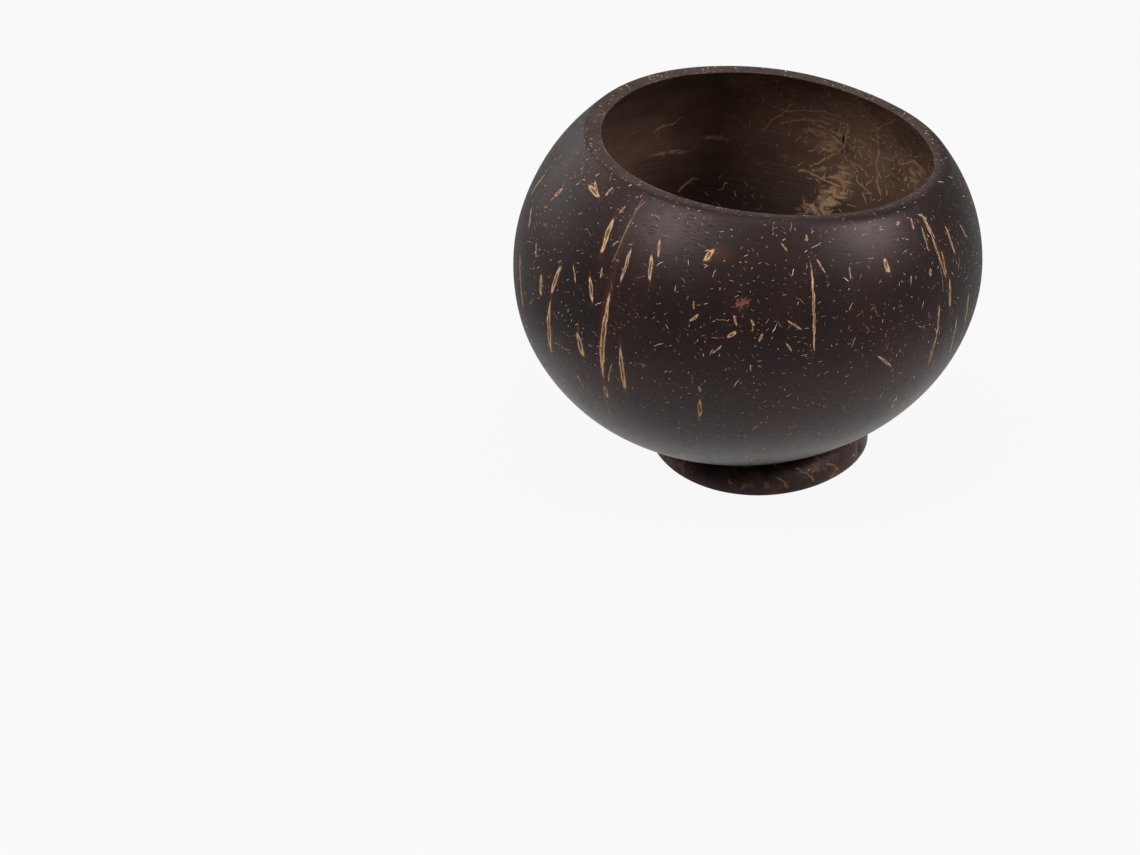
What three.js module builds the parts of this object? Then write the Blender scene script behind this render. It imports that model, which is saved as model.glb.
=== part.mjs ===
// A coconut cup in millimetres, standing on z = 0 with +Z up.
// One nut shell, sawn open at the top, is glued onto a ring sawn from the end of a smaller shell.
// Someone who faces the cup has +X on their right and +Y pointing away from them.

import * as THREE from 'three';
import { LoftGeometry } from 'three/addons/geometries/LoftGeometry.js';

const DEGREE = Math.PI / 180;
const TURN = 360 * DEGREE;

// The nut as it grew: a flattened ball with three broad lobes
const NUT_RADIUS = 59.7; // at the girth, midway between a lobe and a hollow
const NUT_HALF_HEIGHT = 51.3;
const NUT_LEAN = 1.5 * DEGREE; // of its axis towards +X
const LOBE_COUNT = 3;
const LOBE_SWELL = 0.8; // a lobe stands this far out of the mean girth, and a hollow as far in
const LOBE_BEARING = 100 * DEGREE; // of the first lobe, from +X towards +Y

// The shell that the saw leaves
const SHELL_WALL = 3.2; // square to the surface
const MOUTH_RISE = 33.4; // of the cut over the middle of the girth
const MOUTH_SLOPE = 4 * DEGREE; // down towards +X
const LIP_EASE = 1.1; // how far each edge of the lip is sanded off

// The foot, whose wall curves in towards its seat, with the lobes of the smaller nut
const FOOT_RADIUS = 29; // where it stands, midway between a lobe and a hollow
const FOOT_LOBE_SWELL = 0.8;
const FOOT_LOBE_BEARING = 16 * DEGREE;
const FOOT_WALL = 4;
const FOOT_TAPER = 4.5; // from where it stands to its seat
const FOOT_OFFSET = 5.1; // of its axis from the middle of the girth, towards +X
const NUT_CLEARANCE = 2.5; // under the nut, over what the foot stands on

// The glue, and the air that parts it from both shells
const GLUE_DEPTH = 0.9;
const GLUE_BULGE = 0.4; // past the seat, on both sides
const FIT_GAP = 0.3;

// Facets
const FACETS_ROUND = 72;
const OUTER_ROWS = 22;
const INNER_ROWS = 18;
const LIP_ROWS = 3; // on each eased edge
const FOOT_ROWS = 5;
const HALVINGS = 40; // in the search for the cut
const PASSES = 8; // in the search for the underside

const GIRTH_HEIGHT = NUT_CLEARANCE + NUT_HALF_HEIGHT;
const LEAN_PER_RISE = Math.tan(NUT_LEAN);
const SEAT_DEPTH = GLUE_DEPTH + 2 * FIT_GAP;
const POLE = 90 * DEGREE;

// How far a lobe or a hollow scales the mean radius.
function lobeScale(bearing) {
  return 1 + LOBE_SWELL / NUT_RADIUS * Math.cos(LOBE_COUNT * (bearing - LOBE_BEARING));
}

// A point of the nut's surface, or of the one that lies inset below it.
function nutPoint(latitude, bearing, inset) {
  const out = Math.cos(latitude);
  const up = Math.sin(latitude);
  const normal = new THREE.Vector2(out / NUT_RADIUS, up / NUT_HALF_HEIGHT).normalize();
  const radius = (NUT_RADIUS * out - inset * normal.x) * lobeScale(bearing);
  const rise = NUT_HALF_HEIGHT * up - inset * normal.y;
  return new THREE.Vector3(
    radius * Math.cos(bearing) + LEAN_PER_RISE * rise,
    radius * Math.sin(bearing),
    GIRTH_HEIGHT + rise,
  );
}

// The latitude at which a surface meets the saw's plane, or one that lies lower by a drop.
function cutLatitude(bearing, inset, drop) {
  let below = -POLE;
  let above = POLE;
  for (let i = 0; i < HALVINGS; i++) {
    const middle = (below + above) / 2;
    const point = nutPoint(middle, bearing, inset);
    const cut = GIRTH_HEIGHT + MOUTH_RISE - Math.tan(MOUTH_SLOPE) * point.x - drop;
    if (point.z < cut) below = middle;
    else above = middle;
  }
  return below;
}

// Half of the shell's section: up the outside, over the lip and down the inside.
function shellSection(bearing) {
  const outerEnd = cutLatitude(bearing, 0, LIP_EASE);
  const innerEnd = cutLatitude(bearing, SHELL_WALL, LIP_EASE);
  const outerEdge = nutPoint(cutLatitude(bearing, 0, 0), bearing, 0);
  const innerEdge = nutPoint(cutLatitude(bearing, SHELL_WALL, 0), bearing, SHELL_WALL);
  const ease = innerEdge.clone().sub(outerEdge).setLength(LIP_EASE);
  const outerLip = new THREE.QuadraticBezierCurve3(
    nutPoint(outerEnd, bearing, 0),
    outerEdge,
    outerEdge.clone().add(ease),
  );
  const innerLip = new THREE.QuadraticBezierCurve3(
    innerEdge.clone().sub(ease),
    innerEdge,
    nutPoint(innerEnd, bearing, SHELL_WALL),
  );
  const points = [];
  for (let i = 0; i < OUTER_ROWS; i++) {
    points.push(nutPoint(-POLE + (outerEnd + POLE) * i / OUTER_ROWS, bearing, 0));
  }
  points.push(...outerLip.getPoints(LIP_ROWS), ...innerLip.getPoints(LIP_ROWS));
  for (let i = 1; i <= INNER_ROWS; i++) {
    points.push(nutPoint(innerEnd - (innerEnd + POLE) * i / INNER_ROWS, bearing, SHELL_WALL));
  }
  return points;
}

// The height of the nut's underside over a place on the table.
function undersideHeight(x, y) {
  let rise = -NUT_HALF_HEIGHT;
  for (let i = 0; i < PASSES; i++) {
    const across = x - LEAN_PER_RISE * rise;
    const out = Math.hypot(across, y) / (NUT_RADIUS * lobeScale(Math.atan2(y, across)));
    rise = -NUT_HALF_HEIGHT * Math.sqrt(1 - out ** 2);
  }
  return GIRTH_HEIGHT + rise;
}

// A point at a mean radius from the foot's axis, at a height that the nut's underside there gives.
function underNut(meanRadius, bearing, heightUnder) {
  const radius = meanRadius + FOOT_LOBE_SWELL * Math.cos(LOBE_COUNT * (bearing - FOOT_LOBE_BEARING));
  const x = FOOT_OFFSET + radius * Math.cos(bearing);
  const y = radius * Math.sin(bearing);
  return new THREE.Vector3(x, y, heightUnder(undersideHeight(x, y)));
}

// The foot's section: up its outer wall to the seat, then down its inner wall.
function footSection(bearing) {
  const outer = [];
  const inner = [];
  for (let i = 0; i <= FOOT_ROWS; i++) {
    const share = i / FOOT_ROWS;
    const radius = FOOT_RADIUS - FOOT_TAPER * share ** 2;
    const heightUnder = (underside) => share * (underside - SEAT_DEPTH);
    outer.push(underNut(radius, bearing, heightUnder));
    inner.unshift(underNut(radius - FOOT_WALL, bearing, heightUnder));
  }
  return [...outer, ...inner];
}

// The glue's section: a strip between the seat and the nut, with bulging sides.
function glueSection(bearing) {
  const outer = FOOT_RADIUS - FOOT_TAPER;
  const inner = outer - FOOT_WALL;
  const low = (underside) => underside - FIT_GAP - GLUE_DEPTH;
  const halfway = (underside) => underside - FIT_GAP - GLUE_DEPTH / 2;
  const high = (underside) => underside - FIT_GAP;
  return [
    underNut(outer, bearing, low),
    underNut(outer + GLUE_BULGE, bearing, halfway),
    underNut(outer, bearing, high),
    underNut(inner, bearing, high),
    underNut(inner - GLUE_BULGE, bearing, halfway),
    underNut(inner, bearing, low),
  ];
}

// A named piece lofted through its sections, clockwise from +X and back to the first.
function piece(name, sectionAt, closed, material) {
  const sections = [];
  for (let i = 0; i <= FACETS_ROUND; i++) {
    sections.push(sectionAt(-(i % FACETS_ROUND) / FACETS_ROUND * TURN));
  }
  const mesh = new THREE.Mesh(new LoftGeometry(sections, { closed }), material);
  mesh.name = name;
  return mesh;
}

const polishedShell = new THREE.MeshStandardMaterial({ color: 0x2b2020, roughness: 0.42, metalness: 0 });
const footShell = new THREE.MeshStandardMaterial({ color: 0x33211a, roughness: 0.5, metalness: 0 });
const curedGlue = new THREE.MeshStandardMaterial({ color: 0x1a1412, roughness: 0.6, metalness: 0 });

const cup = new THREE.Group();
cup.add(
  piece('cup_shell', shellSection, false, polishedShell),
  piece('foot_ring', footSection, true, footShell),
  piece('glue_bed', glueSection, true, curedGlue),
);

// The origin is under the middle of the whole cup, on the table.
const box = new THREE.Box3().setFromObject(cup);
const middle = box.getCenter(new THREE.Vector3());
cup.position.set(-middle.x, -middle.y, -box.min.z);

export default cup;
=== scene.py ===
"""A coconut cup: a sawn and polished nut shell, its ring foot and the glue that joins them."""

import math

import bpy
import numpy as np
from bpy.props import FloatProperty, FloatVectorProperty, PointerProperty
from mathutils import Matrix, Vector


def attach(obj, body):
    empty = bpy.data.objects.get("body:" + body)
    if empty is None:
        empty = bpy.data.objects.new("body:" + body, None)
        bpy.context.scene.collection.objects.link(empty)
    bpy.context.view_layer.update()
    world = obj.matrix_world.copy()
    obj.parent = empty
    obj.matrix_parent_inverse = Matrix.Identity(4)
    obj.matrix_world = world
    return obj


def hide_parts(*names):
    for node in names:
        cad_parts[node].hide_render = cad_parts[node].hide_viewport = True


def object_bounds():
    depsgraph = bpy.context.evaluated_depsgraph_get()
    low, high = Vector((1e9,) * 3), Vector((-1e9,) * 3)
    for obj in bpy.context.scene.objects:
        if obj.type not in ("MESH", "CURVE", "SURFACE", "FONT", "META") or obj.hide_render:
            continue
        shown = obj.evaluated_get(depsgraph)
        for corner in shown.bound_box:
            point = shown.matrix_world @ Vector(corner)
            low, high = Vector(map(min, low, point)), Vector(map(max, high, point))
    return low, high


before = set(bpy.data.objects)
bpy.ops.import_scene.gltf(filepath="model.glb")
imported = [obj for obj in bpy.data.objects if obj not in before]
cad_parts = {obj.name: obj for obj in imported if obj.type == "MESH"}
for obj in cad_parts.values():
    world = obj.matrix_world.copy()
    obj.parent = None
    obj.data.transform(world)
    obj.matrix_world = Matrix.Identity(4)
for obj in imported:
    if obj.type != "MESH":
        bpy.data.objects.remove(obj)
CAD_BOX = [list(corner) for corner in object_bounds()]

bl_info = {
    "name": "Coconut Cup",
    "version": (1, 0, 0),
    "blender": (4, 5, 0),
    "location": "View3D > Sidebar > Coconut Cup",
    "description": "Builds a polished coconut shell cup on its ring foot",
    "category": "Add Mesh",
}

POLE = math.pi / 2
TURN = 2 * math.pi
LOBES = 3
MM = 1000  # millimetres in a metre, the unit of the maps that the finishes read
MAP_START = math.radians(-270)  # bearing of the maps' seam, at the back of the cup
HALVINGS = 40  # in the search for the saw's cut
PASSES = 8  # in the search for the nut's underside
TURN_STEP = math.radians(6)  # marks on a map are turned by a multiple of this

SHELL_COLUMNS = 384
OUTER_ROWS = 122
EDGE_ROWS = 7
LAND_ROWS = 6
INNER_ROWS = 88
FOOT_COLUMNS = 256
FOOT_SIDE_ROWS = 13
FOOT_TOP_ROWS = 6
FOOT_CORNER_ROWS = 6
GLUE_COLUMNS = 192
GLUE_ROWS = 24

SHINE = 0.32  # how strongly the shell mirrors
SHINE_TINT = (1.0, 0.78, 0.76)
TORN_LEFT = 61  # millimetres round the foot's map, as is the next one
TORN_RIGHT = 109

WAVE_COUNT = 9  # plane waves in each uneven surface
SANDING_WAVE = 0.03  # metres from crest to crest, as are the next two
SCRAPING_WAVE = 0.022
FOOT_WAVE = 0.012
SCRAPING_SQUASH = (1, 1, 2.5)  # scraping runs level, so its waves are closer upwards
LIP_LAND = 0.002  # width over which the lip falls inwards
LIP_REACH = 0.009  # how far from its middle the lip's unevenness dies out
CHIP_WIDTH = math.radians(2.4)
CHIP_HEIGHT = 0.3  # share of the way up the foot
CHIP_SPREAD = 0.16
OVAL_POWER = 0.6  # makes the glue's section fuller than an ellipse

FLOOR_HALF = 4.0
FLOOR_WHITE = 0.92  # share of its own white in what the camera sees of the floor
SHEEN_MIDDLE = (0, -0.06, 0)  # place on the floor that the shell's lower side reflects
SHEEN_WHITE = 0.95
SHEEN_REST = 0.02
WINDOW_WAY = (-0.74, 0.63, 0.22)
WINDOW_LEVEL = 1.4
CEILING_LEVEL = 1.7
HORIZON_LEVEL = 0.22
KEY_PLACE = (-145, 51, 1.1, 0.5)  # bearing and height in degrees, distance and side in metres
FILL_PLACE = (-21, 38, 1.1, 0.4)
CAMERA_PLACE = (-0.04505, -0.61381, 0.37121)
CAMERA_TILT = math.radians(59)
SENSOR_WIDTH = 36  # in millimetres

# Fibres that are cut: spacing, half length and half width in millimetres, and the share of cells with one.
SMALL_FLECKS = (1.8, 0.4, 0.056, 0.46)
LONG_FLECKS = (4.6, 1.1, 0.06, 0.3)
LIP_FLECKS = (1.2, 0.3, 0.085, 0.5)
INSIDE_HAIRS = (2.6, 1.5, 0.09, 0.8)
FOOT_FLECKS = (2.8, 0.4, 0.13, 0.14)

# Broad fibre streaks in the outside: bearing in degrees and height in millimetres of the upper end,
# the same of the lower end, and width in millimetres. Bearings run from +X towards +Y.
STREAKS = (
    (-134.6, 82.7, -133.4, 75.4, 1.4), (-125.5, 78.9, -125.6, 70.8, 0.72), (-119.5, 78.2, -118.1, 72.6, 1),
    (-118.3, 81.5, -117.6, 77.9, 0.64), (-134.6, 69.7, -132.1, 64.3, 1.2), (-145.2, 68.8, -145.7, 60.9, 1.3),
    (-151.6, 63.5, -150.0, 58.5, 1.3), (-146.1, 59.2, -145.4, 44.3, 1.4), (-135.4, 55.3, -133.4, 49.0, 1.6),
    (-128.3, 68.0, -127.2, 45.0, 1.4), (-123.0, 55.8, -121.8, 43.0, 1.2), (-127.8, 42.4, -127.4, 38.6, 0.96),
    (-150.3, 85.6, -143.1, 85.1, 1.1), (-148.8, 86.8, -144.5, 85.2, 0.64), (-159.8, 81.7, -161.1, 79.5, 1.1),
    (-141.0, 87.6, -141.5, 85.7, 0.64), (-149.8, 89.2, -150.3, 87.5, 0.4), (-170.3, 72.4, -165.6, 69.3, 0.72),
    (-140.5, 70.4, -138.5, 66.8, 0.4), (-131.7, 72.5, -131.5, 70.3, 0.48), (-103.2, 81.2, -105.3, 78.7, 1.2),
    (-104.8, 67.4, -106.7, 65.3, 0.64), (-136.5, 42.3, -135.1, 38.0, 0.56), (-125.1, 50.5, -126.4, 44.4, 0.4),
    (-132.7, 85.5, -133.4, 83.9, 0.4), (-166.4, 62.1, -159.6, 49.8, 0.88), (-106.3, 70.1, -106.1, 68.2, 0.4),
    (-158.5, 68.7, -156.2, 65.8, 0.56), (-77.6, 78.2, -76.8, 57.5, 0.6), (-56.7, 76.4, -55.9, 73.3, 1.4),
    (-95.7, 63.8, -97.6, 62.3, 0.88), (-103.3, 44.7, -103.1, 38.4, 1), (-103.2, 48.5, -103.2, 46.8, 0.64),
    (-96.4, 67.7, -95.5, 65.3, 0.56), (-83.8, 66.3, -80.0, 63.8, 0.4), (-60.4, 53.5, -56.0, 49.5, 0.72),
    (-89.5, 63.5, -90.0, 61.4, 0.56), (-85.2, 82.6, -83.4, 81.0, 0.36), (-75.7, 78.9, -73.6, 75.8, 0.36),
    (-87.6, 23.9, -88.2, 19.0, 0.48), (-50.5, 37.6, -50.1, 33.5, 0.96), (-83.7, 60.9, -82.5, 58.6, 0.4),
    (-77.7, 83.7, -77.7, 82.6, 0.56), (-98.7, 60.2, -100.9, 58.1, 0.4), (-66.7, 76.4, -67.0, 73.5, 0.36),
    (-47.6, 82.6, -49.2, 81.9, 0.59), (-92.5, 66.8, -91.5, 65.3, 0.56), (-36.2, 65.8, -36.9, 58.4, 0.78),
    (-31.8, 77.0, -31.5, 70.1, 0.72), (-24.4, 74.6, -23.0, 70.6, 0.45), (-41.1, 79.6, -41.5, 74.0, 0.36),
    (-41.1, 61.1, -41.8, 52.6, 0.72), (-41.8, 53.0, -42.6, 45.2, 0.65), (-33.6, 54.2, -32.3, 43.2, 0.65),
    (-27.2, 57.8, -27.1, 49.1, 0.65), (-43.3, 82.1, -44.0, 79.8, 0.59), (-42.7, 70.5, -43.0, 68.9, 0.72),
    (-36.9, 72.9, -37.2, 66.9, 0.45), (-49.5, 70.9, -50.1, 69.0, 0.39), (-39.9, 86.0, -38.5, 81.5, 0.55),
    (-38.7, 82.6, -38.6, 76.4, 0.6), (-39.1, 85.6, -37.8, 80.4, 0.4), (-38.2, 80.6, -37.9, 75.6, 0.35),
    (-38.5, 77.2, -38.7, 70.6, 0.5), (-38.3, 71.6, -37.5, 66.4, 0.4), (12.0, 70.0, 13.0, 58.0, 1),
    (24.0, 62.0, 24.5, 47.0, 1.3), (31.0, 80.0, 32.0, 75.0, 0.64), (45.0, 55.0, 44.0, 49.0, 0.96),
    (58.0, 74.0, 58.5, 66.0, 0.8), (66.0, 50.0, 67.0, 36.0, 1.2), (79.0, 80.0, 80.0, 76.0, 0.56),
    (88.0, 66.0, 87.5, 52.0, 0.96), (97.0, 45.0, 98.0, 38.0, 0.88), (108.0, 78.0, 107.0, 69.0, 1.1),
    (118.0, 60.0, 119.0, 44.0, 1.4), (126.0, 72.0, 126.5, 66.0, 0.72), (137.0, 83.0, 138.0, 78.0, 0.8),
    (149.0, 58.0, 148.0, 47.0, 1), (160.0, 73.0, 161.0, 63.0, 0.88), (171.0, 52.0, 172.0, 41.0, 0.96),
    (-8.0, 66.0, -9.0, 55.0, 0.8), (-176.0, 79.0, -177.0, 73.0, 0.72), (-15.0, 42.0, -14.5, 34.0, 0.8),
    (3.0, 80.0, 2.5, 76.0, 0.64),
)

# The three sutures along which the nut's carpels grew together, laid out as the streaks are.
SUTURES = (
    (-129.4, 89.5, -127.2, 37.0, 1.3),
    (-38.6, 87.0, -37.0, 56.0, 1.3),
    (83.0, 84.0, 81.0, 36.0, 1.3),
)

# Threads of fibre along the sutures: bearing in degrees and height in millimetres of each bend.
THREADS = (
    ((-38.6, 71.3), (-37.6, 67.5)),
    ((-38.9, 71.0), (-38.9, 67.8), (-39.4, 63.7)),
    ((-127.4, 89.3), (-128.7, 85.4), (-129.0, 78.4), (-129.5, 74.6)),
    ((-128.5, 88.8), (-129.2, 82.7), (-129.0, 78.9)),
    ((-128.3, 39.4), (-128.9, 30.0), (-133.1, 18.2)),
    ((82.6, 82.0), (82.9, 70.0), (81.8, 58.0), (82.2, 44.0)),
)

# Reddish stains where the husk's skin is left in the outside, laid out as the streaks are.
STAINS = (
    (-101.5, 83.0, -100.0, 78.0, 7.0),
    (40.0, 60.0, 43.0, 52.0, 6.0),
    (140.0, 74.0, 143.0, 66.0, 7.0),
)

# Scabs of husk that the sanding left in the outside, laid out as the streaks are.
SCABS = (
    (-93.2, 71.0, -96.6, 69.6, 2.4),
    (-104.4, 79.6, -103.6, 78.8, 1.0),
    (118.0, 67.0, 115.0, 65.6, 2.2),
)

# Fibres that run over the inside: bearing in degrees and height in millimetres of each bend.
VEINS = (
    ((50.4, 77.0), (45.8, 72.8), (46.6, 66.1), (47.8, 60.6), (47.3, 56.5), (46.2, 51.8)),
    ((45.8, 72.8), (39.6, 76.6), (31.9, 81.5)),
    ((82.4, 63.3), (80.0, 67.0), (76.4, 70.7), (74.3, 73.5)),
    ((76.4, 70.7), (69.5, 72.3), (63.6, 73.2), (58.5, 72.5)),
    ((77.4, 66.5), (71.7, 68.6), (64.7, 69.6), (61.8, 69.5)),
    ((57.2, 71.0), (56.6, 68.1), (58.1, 63.5), (59.8, 61.0), (63.5, 57.9), (68.4, 54.4)),
    ((113.3, 65.3), (111.1, 66.8), (107.7, 67.0), (106.0, 69.1)),
    ((100.9, 49.3), (105.1, 45.8)),
    ((51.9, 50.2), (50.1, 48.0)),
    ((70.2, 52.7), (65.5, 51.6), (62.2, 50.3), (59.0, 50.1)),
    ((54.0, 53.4), (48.7, 51.0)),
    ((39.2, 63.6), (32.5, 67.0), (28.8, 65.7)),
    ((-60.0, 70.0), (-63.0, 62.0), (-61.0, 52.0), (-66.0, 45.0)),
    ((-130.0, 58.0), (-124.0, 63.0), (-117.0, 64.0)),
    ((165.0, 72.0), (170.0, 63.0), (168.0, 55.0)),
)

# Pale patches where the white flesh clung to the inside, laid out as the streaks are.
PALE_PATCHES = (
    (59.0, 66.4, 66.0, 67.4, 1.3),
    (59.2, 64.8, 68.5, 65.2, 2.2),
    (59.4, 63.0, 67.0, 62.4, 1.9),
    (60.5, 61.4, 65.5, 60.0, 1.2),
    (57.6, 57.0, 58.2, 50.0, 4.2),
    (56.5, 49.0, 63.0, 47.4, 2.8),
    (59.5, 45.6, 66.5, 44.6, 2.6),
    (62.5, 43.2, 68.5, 42.2, 2.6),
    (63.0, 54.6, 70.0, 52.8, 1.0),
    (59.0, 52.6, 66.0, 51.2, 0.9),
    (32.0, 62.6, 36.5, 60.4, 3.4),
    (28.5, 65.6, 31.5, 64.0, 1.3),
    (112.0, 58.0, 104.0, 57.0, 1.2),
    (97.0, 61.0, 90.0, 60.4, 1.0),
    (-70.0, 52.0, -62.0, 47.0, 5.0),
    (150.0, 50.0, 158.0, 44.0, 5.0),
)

# Fibres that run over the foot's outer face: bearing in degrees and millimetres up the face of each bend.
FOOT_VEINS = (
    ((-83.0, 3.8), (-80.5, 2.8), (-78.6, 2.2), (-77.6, 0.8)),
    ((-71.0, 5.0), (-68.4, 3.6), (-66.0, 3.2), (-62.5, 1.0)),
    ((-51.5, 3.8), (-47.5, 2.4), (-44.0, 1.0)),
    ((-108.5, 2.6), (-106.5, 1.6)),
    ((-142.0, 4.4), (-138.0, 2.6), (-135.0, 0.8)),
    ((-152.0, 5.6), (-147.0, 3.6), (-143.0, 2.0)),
    ((20.0, 8.0), (23.0, 4.6), (27.0, 2.2)),
    ((75.0, 7.4), (79.0, 5.0), (80.0, 2.0)),
    ((133.0, 8.0), (138.0, 4.4)),
)

# The slit where a bud of fibre left the inside, and the low knot round it.
SLITS = ((58.0, 67.2, 58.4, 64.0, 0.7),)
KNOTS = ((57.8, 69.5, 58.6, 61.5, 4.2),)


def length(name, description, default):
    """A length in metres."""
    return FloatProperty(name=name, description=description, default=default, precision=5, unit="LENGTH")


def angle(name, description, degrees):
    """An angle, given in degrees."""
    return FloatProperty(name=name, description=description, default=math.radians(degrees), subtype="ANGLE")


def fraction(name, description, default):
    """A number from 0 to 1."""
    return FloatProperty(name=name, description=description, default=default, min=0, max=1, subtype="FACTOR")


def colour(name, description, default):
    """A linear colour."""
    return FloatVectorProperty(
        name=name, description=description, default=default, min=0, max=1, size=3, subtype="COLOR"
    )


class ShellSettings(bpy.types.PropertyGroup):
    """Sizes of the nut and of the shell that is left of it."""

    nut_radius: length("Nut radius", "At the girth, midway between a lobe and a hollow", 0.0597)
    nut_half_height: length("Nut half height", "From the girth to either pole", 0.0513)
    girth_height: length("Girth height", "Of the nut's middle over the table", 0.0538)
    axis_x: length("Axis, X", "Where the nut's axis crosses the girth", -0.000418)
    axis_y: length("Axis, Y", "Where the nut's axis crosses the girth", -0.000692)
    lean: angle("Lean", "Of the nut's axis towards +X", 1.5)
    lobe_swell: length("Lobe swell", "How far a lobe stands out and a hollow lies in", 0.0008)
    lobe_bearing: angle("Lobe bearing", "Of the first lobe, from +X towards +Y", 100)
    wall: length("Wall", "Thickness square to the surface", 0.0032)
    mouth_rise: length("Mouth rise", "Of the cut over the girth, at the axis", 0.0334)
    mouth_slope: angle("Mouth slope", "Of the cut, down towards +X", 4)
    lip_ease: length("Lip ease", "How far each edge of the lip is sanded off where it is crispest", 0.0006)
    lip_round: length("Lip rounding", "How much more is sanded off where it is roundest", 0.0011)
    round_bearing: angle("Rounding bearing", "Where the lip is roundest, from +X towards +Y", -25)
    polish: length("Polish", "How much the polishing takes off all over", 0.00006)
    swell: length("Sanding waves", "Depth of the low waves that hand sanding leaves outside", 0.00018)
    scrape: length("Scraping waves", "Depth of the waves that scraping leaves inside", 0.0003)
    lip_fall: length("Lip fall", "How much lower the lip's inner edge is sanded", 0.0002)
    lip_wave: length("Lip wave", "How far the lip dips where more was sanded off", 0.0002)
    streak_depth: length("Streak depth", "How far the soft streaks are worn in", 0.00012)
    knot_rise: length("Knot rise", "How far the knot round the slit stands out of the inside", 0.0006)


class FootSettings(bpy.types.PropertyGroup):
    """Sizes of the ring foot."""

    centre_x: length("Centre, X", "Of the ring on the table", 0.004682)
    centre_y: length("Centre, Y", "Of the ring on the table", -0.000692)
    radius: length("Radius", "Where it stands, midway between a lobe and a hollow", 0.029)
    lobe_swell: length("Lobe swell", "How far a lobe stands out and a hollow lies in", 0.0008)
    lobe_bearing: angle("Lobe bearing", "Of the first lobe, from +X towards +Y", 16)
    wall: length("Wall", "Thickness of the ring", 0.004)
    taper: length("Taper", "How much less the radius is at the seat", 0.0045)
    section: length("Section", "Height of the ring's section before it is fitted under the nut", 0.00735)
    seat_gap: length("Seat gap", "From the seat up to the nut, which the glue fills", 0.0015)
    ease: length("Edge ease", "Radius of the sanded edges", 0.0005)
    wear: length("Wear", "Depth of the uneven sanding", 0.00018)
    chip_bearing: angle("Chip bearing", "Of the small chip in the outer face", -22)
    chip_depth: length("Chip depth", "Of the small chip in the outer face", 0.0006)


class GlueSettings(bpy.types.PropertyGroup):
    """Sizes of the glue."""

    bulge: length("Bulge", "How far the glue is squeezed out of the joint", 0.0004)
    tuck: length("Tuck", "How far the glue lies in from the seat's edges where it bulges least", 0.0002)
    clearance: length("Clearance", "Left between the glue and both shells", 0.00002)


class FinishSettings(bpy.types.PropertyGroup):
    """Colours and gloss of the finishes."""

    shell_dark: colour("Shell, dark", "Main colour of the polished outside", (0.0085, 0.0054, 0.0056))
    shell_red: colour("Shell, reddish", "Where the outside is redder", (0.022, 0.0088, 0.0072))
    stain_red: colour("Stain", "Remains of the husk's skin", (0.075, 0.022, 0.012))
    scab_red: colour("Scab", "Husk that the sanding left", (0.2, 0.07, 0.038))
    fleck_tan: colour("Fleck, tan", "Duller flecks of cut fibre", (0.3, 0.145, 0.075))
    fleck_cream: colour("Fleck, cream", "Brighter flecks of cut fibre", (0.82, 0.62, 0.45))
    streak_tan: colour("Streak, tan", "Fibre in the broad streaks", (0.56, 0.36, 0.2))
    streak_brown: colour("Streak, brown", "Gaps between the fibres of a streak", (0.1, 0.044, 0.02))
    lip_grey: colour("Lip", "Sanded lip", (0.056, 0.0375, 0.031))
    lip_brown: colour("Lip, brown", "Browner places of the lip", (0.037, 0.0225, 0.017))
    inside_brown: colour("Inside, brown", "Main colour of the scraped inside", (0.25, 0.14, 0.094))
    # Painted shade: the colour that the inside is darkened to towards its bottom and on its left wall.
    inside_painted_shade: colour("Inside, deep", "Bottom of the inside", (0.024, 0.015, 0.012))
    inside_dark: colour("Inside, dark", "Darker grain of the inside", (0.13, 0.074, 0.054))
    vein_tan: colour("Vein", "Fibres that run over the inside", (0.54, 0.3, 0.15))
    patch_pale: colour("Patch", "Where the flesh clung to the inside", (0.54, 0.335, 0.195))
    foot_dark: colour("Foot, dark", "Main colour of the foot", (0.0135, 0.0085, 0.0075))
    foot_red: colour("Foot, reddish", "Mottles of the foot", (0.06, 0.023, 0.013))
    foot_tan: colour("Foot, tan", "Veins and the pale end of the foot", (0.34, 0.155, 0.07))
    glue_dark: colour("Glue", "Cured glue, tinted with shell dust", (0.012, 0.009, 0.008))
    shell_gloss: fraction("Shell roughness", "Of the polished outside", 0.4)
    inside_gloss: fraction("Inside roughness", "Of the scraped inside", 0.5)


class StageSettings(bpy.types.PropertyGroup):
    """The floor, the light and the camera."""

    floor_pale: fraction("Floor", "Colour of the floor", 0.3)
    key_power: FloatProperty(name="Key lamp", description="Lamp on the left", default=6.6, unit="POWER")
    fill_power: FloatProperty(name="Fill lamp", description="Lamp on the right", default=6.6, unit="POWER")
    room_dim: fraction("Room", "Level of the room's light overhead", 0.3)
    lens: FloatProperty(name="Lens", description="Focal length in millimetres", default=85, unit="CAMERA")


class CupSettings(bpy.types.PropertyGroup):
    """All settings of the cup."""

    shell: PointerProperty(name="Shell", description="Sizes of the shell", type=ShellSettings)
    foot: PointerProperty(name="Foot", description="Sizes of the foot", type=FootSettings)
    glue: PointerProperty(name="Glue", description="Sizes of the glue", type=GlueSettings)
    finish: PointerProperty(name="Finish", description="Colours and gloss", type=FinishSettings)
    stage: PointerProperty(name="Stage", description="Floor, light and camera", type=StageSettings)


def lobed(settings, bearing):
    """The radius left over a mean one: a swell times the cosine of three times the bearing."""
    return settings.lobe_swell * np.cos(LOBES * (bearing - settings.lobe_bearing))


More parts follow.
